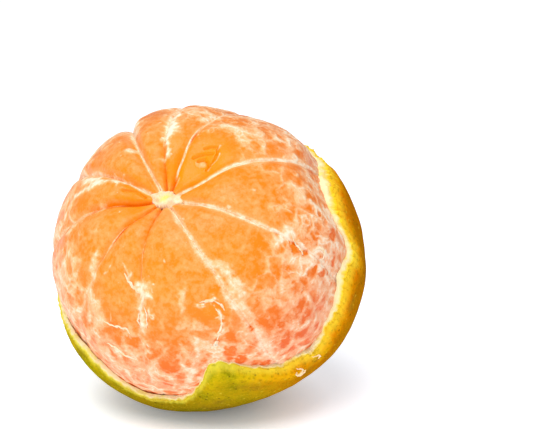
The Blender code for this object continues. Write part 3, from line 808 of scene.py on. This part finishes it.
# Loose curls and flakes of pith: half width and half height in mm, and a path of angles with lifts in mm.
CURLS = (
    (0.26, 0.12, ((-12, 31.5, 0.6), (-10, 33, 0.2), (-7, 35, 0.1), (-4, 36.5, 0.1), (-1, 38, 0.1))),
    (0.3, 0.1, ((0.5, 35.5, 0.1), (2.0, 38, 0.1), (0.5, 41, 0.1), (-0.5, 44, 0.1))),
    (0.18, 0.08, ((-1, 44, 0.05), (-2.0, 48, 0.15), (-0.5, 51, 0.15))),
    (0.16, 0.08, ((2, 42, 0.05), (3.2, 46, 0.12), (2.2, 50.5, 0.12))),
    (0.22, 0.12, ((-19, 51.2, 0.7), (-16, 52.4, 0.3), (-12, 52, 0.1), (-8, 52, 0.1), (-4, 55, 0.1))),
    (0.24, 0.14, ((31, 43.5, 0.1), (35, 43.8, 0.2), (38, 45.4, 0.3), (40.5, 48, 0.2), (40, 51, 0.1))),
    (0.22, 0.14, ((37, 47.5, 0.1), (37.8, 51, 0.3), (36, 54.5, 0.3), (33, 57, 0.2), (31, 60, 0.1))),
    (0.4, 0.2, ((31.5, 59.6, 0.4), (30, 61, 0.7), (28.5, 62, 0.3))),
    (0.3, 0.16, ((-17, 60.5, 0.5), (-13, 61, 0.2), (-9, 63.5, 0.2), (-4, 64.5, 0.1))),
    (0.22, 0.12, ((89, 50.5, 0.2), (86, 52.5, 0.3), (84, 56, 0.3), (82, 58.5, 0.1))),
    (0.22, 0.12, ((86.4, 61.5, 0.2), (89, 64, 0.3), (88.5, 67, 0.3), (85, 67.5, 0.2))),
)
# Wisps that hang over the torn edge, with lifts from the skin.
WISPS = (
    (0.2, 0.2, (
        (50.5, 92.0, 0.3), (52.5, 93.4, 1.0), (51.0, 94.8, 1.3), (49.2, 94.2, 1.0), (50.0, 92.9, 0.8),
    )),
    (0.18, 0.18, (
        (51.5, 94.2, 0.9), (49.6, 95.8, 1.0), (50.8, 97.4, 0.9), (53.0, 96.8, 1.0), (52.4, 95.4, 0.9),
    )),
    (0.16, 0.16, ((57.5, 92.2, 0.4), (59.5, 93.6, 0.9), (60.2, 95.4, 0.8), (58.8, 96.6, 0.6))),
)
CURL_COLUMNS = 10
CURL_ROWS = 60


def loose_strand(name, width, height, path, finish, base):
    """A ball drawn out along a smooth path of angles and lifts above the base surface."""
    work, turn, fall = ball(CURL_COLUMNS, CURL_ROWS)
    path = np.array(path, float)
    steps = np.linspace(0, 1, len(path))
    smooth_path = np.linspace(0, 1, 41)
    rounded = np.stack([np.interp(smooth_path, steps, path[:, axis]) for axis in range(3)], axis=-1)
    for _ in range(6):
        rounded[1:-1] = (rounded[:-2] + 2 * rounded[1:-1] + rounded[2:]) / 4
    for axis in (0, 1):
        rounded[:, axis] += 0.6 * noise_over(smooth_path * 7, axis * 5, width * 70)

    def along(share):
        azimuth, polar, lift = (np.interp(share, smooth_path, rounded[:, axis]) for axis in range(3))
        return base(azimuth, polar, lift * MM)

    ends = np.sqrt(np.clip(1 - abs(2 * fall - 1) ** 2.5, 0, 1))
    uneven = 1 + 0.8 * noise_over(fall * 14, 0, width * 90)
    tangent = along(np.minimum(fall + 0.012, 1)) - along(np.maximum(fall - 0.012, 0))
    middle = along(fall)
    up = middle / np.linalg.norm(middle, axis=1, keepdims=True)
    across = np.cross(tangent, up)
    across /= np.linalg.norm(across, axis=1, keepdims=True)
    raised = np.cross(across, tangent)
    raised /= np.linalg.norm(raised, axis=1, keepdims=True)
    points = middle + across * (width * MM * ends * uneven * np.cos(turn))[:, None]
    points += raised * (height * MM * ends * np.sin(turn))[:, None]
    return piece_from(work, name, points, {"heart": np.zeros(len(turn))}, finish, "white_pith")


def loose_pith(finish):
    for kind, strands, base in (("curl", CURLS, flesh_surface), ("wisp", WISPS, skin_points)):
        for number, (width, height, path) in enumerate(strands, start=1):
            loose_strand(f"pith_{kind}_{number:02d}", width, height, path, finish, base)


CORE_COLUMNS = 160
CORE_ROWS = 110
# The arms of the core's end: the azimuth that each reaches along, and how far, in mm.
CORE_ARMS = ((84.9, 1.7), (55, 0.5), (110.0, 1.2), (-138.7, 0.6), (-105.8, 1.9), (-75, 0.9), (172.7, 0.2))
ARM_WIDTH = 17
CORE_CAP_RADIUS = 2.55 * MM
# Its lobes: the azimuth of each, and its distance from the middle, its reach and its height, in mm.
CORE_LOBES = ((84.9, 2.0, 1.1, 0.9), (-95.0, 1.9, 0.9, 0.8), (10.0, 1.4, 0.8, 0.4))
CORE_DOME = 1.6 * MM
CORE_RIM_DROP = 0.9 * MM
CORE_RAGS = ((0.28, 3.0, 0.35 * MM), (0.1, 6.0, 0.12 * MM))
CORE_LUMPS = ((1.5 * MM, 5.0, 0.4 * MM), (0.7 * MM, 2.0, 0.15 * MM))
# How far round the ball's fall the cap ends, and the column below it starts.
CAP_END = 0.45
COLUMN_START = 0.55
# The yellow heart of the core: its middle, and the distances from it where it ends and is full.
HEART_MIDDLE = (0.2 * MM, 0.3 * MM)
HEART_FADE = (2.2 * MM, 0.6 * MM)


def core(finish):
    """The lumpy white end of the core, lying over the segments' tips, and the column below it."""
    work, turn, fall = ball(CORE_COLUMNS, CORE_ROWS)
    azimuth = np.degrees(turn)
    arms = MM * sum(reach * np.exp(-((wrapped(azimuth - arm) / ARM_WIDTH) ** 2)) for arm, reach in CORE_ARMS)
    ragged = noises(directions(azimuth, 90), CORE_RAGS)
    cap = np.clip(fall / CAP_END, 0, 1)
    under = np.clip((fall - CAP_END) / (COLUMN_START - CAP_END), 0, 1)
    down = np.clip((fall - COLUMN_START) / (1 - COLUMN_START), 0, 1)
    reach = (CORE_CAP_RADIUS + arms + ragged) * np.sin(cap * math.pi / 2)
    radius = np.where(fall < CAP_END, reach, blend(reach, CORE_RADIUS - 0.1 * MM, under))
    radius = radius * np.clip((1 - down) * 8, 0, 1)
    polar = np.degrees(np.arcsin(np.clip(radius / FRUIT_RADIUS, 0, 1)))
    top = flesh_points(azimuth, np.maximum(polar, 4.0))[:, 2]
    dome = CORE_DOME * np.cos(cap * math.pi / 2) ** 0.7 - CORE_RIM_DROP
    bottom = -FRUIT_HALF_HEIGHT + PEEL_THICKNESS + 0.5 * MM
    height = np.where(fall < CAP_END, top + dome, blend(top + dome - CORE_RIM_DROP * under, bottom, down))
    points = np.stack([radius * np.cos(turn), radius * np.sin(turn), height], axis=-1)
    lumps = noises(points, CORE_LUMPS)
    for arm, out, reach, rise in CORE_LOBES:
        away = np.linalg.norm(points[:, :2] - directions(arm, 90)[:2] * out * MM, axis=1)
        lumps += rise * MM * np.exp(-((away / (reach * MM)) ** 2))
    points[:, 2] += lumps * (fall < 0.5)
    heart = smooth_step(*HEART_FADE, np.hypot(*(points[:, :2] - HEART_MIDDLE).T) + lumps)
    return piece_from(work, "pith_core", points, {"heart": heart}, finish, "white_pith", "pith")


# Nodes of a finish.


def add(tree, kind, **inputs):
    """A node with these inputs: each a plain value, or another node's output socket."""
    node = tree.nodes.new(kind)
    for name, value in inputs.items():
        feed(tree, value, node.inputs[name.replace("_", " ")])
    return node


def feed(tree, value, socket):
    """Gives a socket a plain value, or another node's output."""
    if isinstance(value, bpy.types.NodeSocket):
        tree.links.new(value, socket)
    else:
        socket.default_value = value


def attribute(tree, name):
    node = tree.nodes.new("ShaderNodeAttribute")
    node.attribute_name = name
    return node.outputs["Fac"]


def mixed(tree, factor, first, second):
    """Two colours mixed, by the Mix node's sockets for a factor and for colours."""
    node = tree.nodes.new("ShaderNodeMix")
    node.data_type = "RGBA"
    for socket, value in zip((node.inputs[0], node.inputs[6], node.inputs[7]), (factor, first, second)):
        feed(tree, value, socket)
    return node.outputs[2]


def calculated(tree, operation, *values):
    node = tree.nodes.new("ShaderNodeMath")
    node.operation = operation
    for socket, value in zip(node.inputs, values):
        feed(tree, value, socket)
    return node.outputs[0]


def times(tree, value, amount):
    return calculated(tree, "MULTIPLY", value, amount)


def ranged(tree, value, low, high, to_low=0.0, to_high=1.0):
    limits = {"From_Min": low, "From_Max": high, "To_Min": to_low, "To_Max": to_high}
    return add(tree, "ShaderNodeMapRange", Value=value, **limits).outputs["Result"]


def wandered(tree, value, noise_value, amount):
    """The value pushed up and down by a noise that runs from 0 to 1."""
    return calculated(tree, "ADD", value, times(tree, calculated(tree, "SUBTRACT", noise_value, 0.5), amount))


def mottle_group():
    """Soft clouds and the fine fibres in them, by how many of each there are to a metre."""
    group = bpy.data.node_groups.new("pithy_mottle", "ShaderNodeTree")
    for name, count in (("Clouds", 380.0), ("Fibres", 1600.0)):
        size = group.interface.new_socket(f"{name} per metre", in_out="INPUT", socket_type="NodeSocketFloat")
        size.default_value = count
        group.interface.new_socket(name, in_out="OUTPUT", socket_type="NodeSocketFloat")
    entry, leave = group.nodes.new("NodeGroupInput"), group.nodes.new("NodeGroupOutput")
    place = group.nodes.new("ShaderNodeTexCoord").outputs["Object"]
    for count, result in zip(entry.outputs[:2], leave.inputs[:2]):
        texture = add(group, "ShaderNodeTexNoise", Vector=place, Scale=count, Detail=3.0, Roughness=0.6)
        feed(group, texture.outputs["Fac"], result)
    return group


def mottle(tree, group, clouds, fibres):
    """The mottle placed in a finish, with clouds and fibres of these sizes."""
    node = tree.nodes.new("ShaderNodeGroup")
    node.node_tree = group
    node.inputs["Clouds per metre"].default_value = 1 / clouds
    node.inputs["Fibres per metre"].default_value = 1 / fibres
    return node.outputs["Clouds"], node.outputs["Fibres"]


def new_material(name, **settings):
    """A material whose surface has these plain values."""
    made = bpy.data.materials.new(name)
    made.use_nodes = True
    shader = made.node_tree.nodes["Principled BSDF"]
    for socket, value in settings.items():
        shader.inputs[socket.replace("_", " ")].default_value = value
    return made, made.node_tree, shader


def bumped(tree, shader, height, distance, strength=1.0):
    bump = add(tree, "ShaderNodeBump", Height=height, Strength=strength, Distance=distance)
    feed(tree, bump.outputs["Normal"], shader.inputs["Normal"])


# Finishes, with colours that come in pairs for the flesh near the core and low down; the low ones are darker
# and redder, partly the flesh's own colour and partly painted shade.

DEEP_FLESH = ((0.89, 0.24, 0.008, 1), (0.79, 0.112, 0.008, 1))
PALE_FLESH = ((0.95, 0.465, 0.168, 1), (0.87, 0.335, 0.135, 1))
CREAM_PITH = ((0.97, 0.67, 0.38, 1), (0.92, 0.52, 0.32, 1))
BRIGHT_PITH = ((0.98, 0.88, 0.70, 1), (0.94, 0.76, 0.58, 1))
CLEAR_AND_SHADED_FLESH = (0.92, 0.285, 0.0, 1)


def flesh_finish(mottling):
    made, tree, shader = new_material("moist_flesh", Specular_IOR_Level=0.2)
    net, haze, clear_and_shaded, low = (attribute(tree, name) for name in ("net", "haze", "clear_and_shaded", "low"))
    clouds, fibres = mottle(tree, mottling, 1.6 * MM, 0.45 * MM)
    veil = wandered(tree, wandered(tree, haze, clouds, 0.7), fibres, 0.9)
    # Low down the flesh and its pith are darker and redder: partly their own colour, partly painted shade.
    deep, pale = mixed(tree, low, *DEEP_FLESH), mixed(tree, low, *PALE_FLESH)
    body = mixed(tree, ranged(tree, veil, 0.0, 0.95), deep, pale)
    # The deep, clear orange: partly the flesh's own colour, partly painted shade in its hollows and creases.
    body = mixed(tree, times(tree, clear_and_shaded, 0.92), body, CLEAR_AND_SHADED_FLESH)
    frayed = wandered(tree, net, fibres, 0.6)
    cream, bright = mixed(tree, low, *CREAM_PITH), mixed(tree, low, *BRIGHT_PITH)
    string = mixed(tree, ranged(tree, frayed, 0.5, 0.95), cream, bright)
    white = times(tree, ranged(tree, frayed, 0.12, 0.8), 0.96)
    feed(tree, mixed(tree, white, body, string), shader.inputs["Base Color"])
    feed(tree, ranged(tree, white, 0, 1, 0.3, 0.6), shader.inputs["Roughness"])
    height = calculated(tree, "ADD", times(tree, clouds, 0.5), times(tree, frayed, 0.6))
    bumped(tree, shader, height, 0.35 * MM, 0.6)
    return made


PITH_COLOURS = ((0.98, 0.63, 0.34, 1), (0.98, 0.83, 0.58, 1))
HEART_COLOUR = (0.90, 0.76, 0.20, 1)


def pith_finish(mottling):
    made, tree, shader = new_material(
        "white_pith",
        Roughness=0.65,
        Specular_IOR_Level=0.3,
        Subsurface_Weight=0.3,
        Subsurface_Radius=(1.0, 0.6, 0.3),
        Subsurface_Scale=1.5 * MM,
    )
    clouds, fibres = mottle(tree, mottling, 2.0 * MM, 0.6 * MM)
    pale = mixed(tree, ranged(tree, wandered(tree, clouds, fibres, 0.8), 0.3, 0.7), *PITH_COLOURS)
    feed(tree, mixed(tree, attribute(tree, "heart"), pale, HEART_COLOUR), shader.inputs["Base Color"])
    bumped(tree, shader, fibres, 0.25 * MM, 0.6)
    return made


# The skin from green to ripe, then pairs from green to ripe: the painted highlight of its lit edge, and its
# colour under painted shade.
SKIN_COLOURS = (
    (0.0, (0.29, 0.28, 0.003, 1)),
    (0.25, (0.62, 0.45, 0.005, 1)),
    (0.55, (0.80, 0.46, 0.005, 1)),
    (0.8, (0.78, 0.32, 0.002, 1)),
    (1.0, (0.80, 0.23, 0.001, 1)),
)
EDGING = ((0.80, 0.74, 0.07, 1), (1.0, 0.66, 0.03, 1))
SHADED = ((0.17, 0.13, 0.003, 1), (0.44, 0.14, 0.001, 1))
CUT_FACE = (1.0, 0.86, 0.50, 1)
RUSSET = (0.26, 0.15, 0.01, 1)
SCAR_COLOUR = (0.16, 0.08, 0.012, 1)
# Spots on the skin: their spacing, at which shares of it from their middles they end and are full, how
# strong they are, and their colour.
PALE_SPOTS = (2.7 * MM, (0.16, 0.08), 0.4, (0.80, 0.62, 0.05, 1))
GLANDS = (1.1 * MM, (0.45, 0.12), 0.3, (0.33, 0.26, 0.004, 1))
FRECKLES = (2.1 * MM, (0.17, 0.08), 0.7, (0.09, 0.06, 0.004, 1))


def spot_distance(tree, place, spacing):
    """Distance from the middle of the nearest spot, as a share of their spacing."""
    return add(tree, "ShaderNodeTexVoronoi", Vector=place, Scale=1 / spacing).outputs["Distance"]


def peel_finish(mottling):
    made, tree, shader = new_material("dimpled_peel", Specular_IOR_Level=0.0)
    cut, lit, ripe, deep, scar = (attribute(tree, name) for name in ("cut", "lit", "ripe", "deep", "scar"))
    clouds, fibres = mottle(tree, mottling, 4.0 * MM, 0.5 * MM)
    place = tree.nodes.new("ShaderNodeTexCoord").outputs["Object"]
    colours = tree.nodes.new("ShaderNodeValToRGB")
    ramp = colours.color_ramp
    for position, colour in SKIN_COLOURS[1:-1]:
        ramp.elements.new(position).color = colour
    ramp.elements[0].color, ramp.elements[-1].color = SKIN_COLOURS[0][1], SKIN_COLOURS[-1][1]
    feed(tree, wandered(tree, wandered(tree, ripe, clouds, 0.8), fibres, 0.3), colours.inputs["Fac"])
    edging = mixed(tree, ripe, *EDGING)
    # Painted shade, from the deep attribute: the skin is mixed towards its shaded colour below the edge and
    # low down.
    painted_shade = times(tree, ranged(tree, wandered(tree, deep, clouds, 0.5), 0.05, 1), 0.9)
    skin = mixed(tree, painted_shade, colours.outputs["Color"], mixed(tree, ripe, *SHADED))

    for spacing, fade, share, colour in (PALE_SPOTS, GLANDS, FRECKLES):
        spots = ranged(tree, spot_distance(tree, place, spacing), *fade)
        skin = mixed(tree, times(tree, spots, share), skin, colour)
    russet, _ = mottle(tree, mottling, 7.0 * MM, 0.5 * MM)
    skin = mixed(tree, times(tree, ranged(tree, russet, 0.54, 0.70), 0.55), skin, RUSSET)
    skin = mixed(tree, times(tree, lit, 0.85), skin, edging)
    skin = mixed(tree, scar, skin, SCAR_COLOUR)

    torn = wandered(tree, cut, fibres, 0.3)
    flesh_side = mixed(tree, ranged(tree, torn, 0.15, 0.7), edging, CUT_FACE)
    stained = times(tree, ranged(tree, clouds, 0.5, 0.62), 0.55)
    flesh_side = mixed(tree, stained, flesh_side, edging)
    opened = ranged(tree, torn, 0.03, 0.14)
    feed(tree, mixed(tree, opened, skin, flesh_side), shader.inputs["Base Color"])
    feed(tree, ranged(tree, opened, 0, 1, 0.42, 0.75), shader.inputs["Roughness"])
    between_glands = ranged(tree, spot_distance(tree, place, GLANDS[0]), *reversed(GLANDS[1]))
    bumped(tree, shader, mixed(tree, opened, between_glands, fibres), 0.3 * MM, 0.7)
    return made


# The studio.

WORLD_STRENGTH = 0.4
KEY_PLACE = (-0.16, -0.42, 0.92)
KEY_SIZE = 0.85
KEY_WATTS = 9.3
FLOOR_COLOUR = (0.92, 0.92, 0.92, 1)
FLOOR_SIZE = 12.0
# Painted light: how the floor glows beneath the fruit, where its weaker glow paints a darker shadow, and
# further out, and where that changes; the glow is tinted cool.
FLOOR_GLOW = (0.06, 0.48)
FLOOR_GLOW_REACH = (4 * MM, 30 * MM)
FLOOR_GLOW_COLOUR = (0.93, 1, 1.14, 1)


def placed(name, data, place):
    made = bpy.data.objects.new(name, data)
    made.location = place
    bpy.context.scene.collection.objects.link(made)
    return made


def floor():
    made, tree, shader = new_material(
        "white_floor",
        Base_Color=FLOOR_COLOUR,
        Roughness=0.6,
        Specular_IOR_Level=0.2,
        Emission_Color=FLOOR_GLOW_COLOUR,
    )
    # Painted light and shadow: the floor glows more the further it lies from the fruit.
    away = tree.nodes.new("ShaderNodeVectorMath")
    away.operation = "LENGTH"
    feed(tree, tree.nodes.new("ShaderNodeTexCoord").outputs["Object"], away.inputs[0])
    glow = ranged(tree, away.outputs["Value"], *FLOOR_GLOW_REACH, *FLOOR_GLOW)
    feed(tree, glow, shader.inputs["Emission Strength"])
    work = bmesh.new()
    bmesh.ops.create_grid(work, x_segments=1, y_segments=1, size=FLOOR_SIZE / 2)
    mesh = bpy.data.meshes.new("floor")
    work.to_mesh(mesh)
    work.free()
    mesh.materials.append(made)
    placed("floor", mesh, (0, 0, 0))


def studio():
    floor()
    world = bpy.data.worlds.new("studio")
    world.use_nodes = True
    background = world.node_tree.nodes["Background"]
    background.inputs["Color"].default_value = (1, 1, 1, 1)
    background.inputs["Strength"].default_value = WORLD_STRENGTH
    bpy.context.scene.world = world
    bpy.context.scene.view_settings.view_transform = "Standard"

    lamp = bpy.data.lights.new("key", "AREA")
    lamp.shape = "DISK"
    lamp.size = KEY_SIZE
    lamp.energy = KEY_WATTS
    aim = Vector((0, 0, CENTRE_HEIGHT)) - Vector(KEY_PLACE)
    placed("key", lamp, KEY_PLACE).rotation_euler = aim.to_track_quat("-Z", "Y").to_euler()


def camera():
    tilt = math.radians(CAMERA_ELEVATION)
    up = Vector((0, math.sin(tilt), math.cos(tilt)))
    back = Vector((0, -math.cos(tilt), math.sin(tilt)))
    lens = bpy.data.cameras.new("camera")
    lens.lens = CAMERA_LENS
    lens.sensor_width = SENSOR_WIDTH
    lens.clip_start = 0.01
    place = Vector((FRUIT_LEFT, 0, CENTRE_HEIGHT)) + up * FRUIT_BELOW + back * CAMERA_DISTANCE
    holder = placed("camera", lens, place)
    holder.rotation_euler = (math.radians(90) - tilt, 0, 0)
    bpy.context.scene.camera = holder


def main():
    mottling = mottle_group()
    flesh, pith, rind = (make(mottling) for make in (flesh_finish, pith_finish, peel_finish))
    for number, (first, second) in enumerate(zip(ALL_ROUND, ALL_ROUND[1:]), start=1):
        flesh_segment(number, first, second, flesh)
    seam_pith(pith)
    core(pith)
    loose_pith(pith)
    peel(rind)
    studio()
    camera()


main()
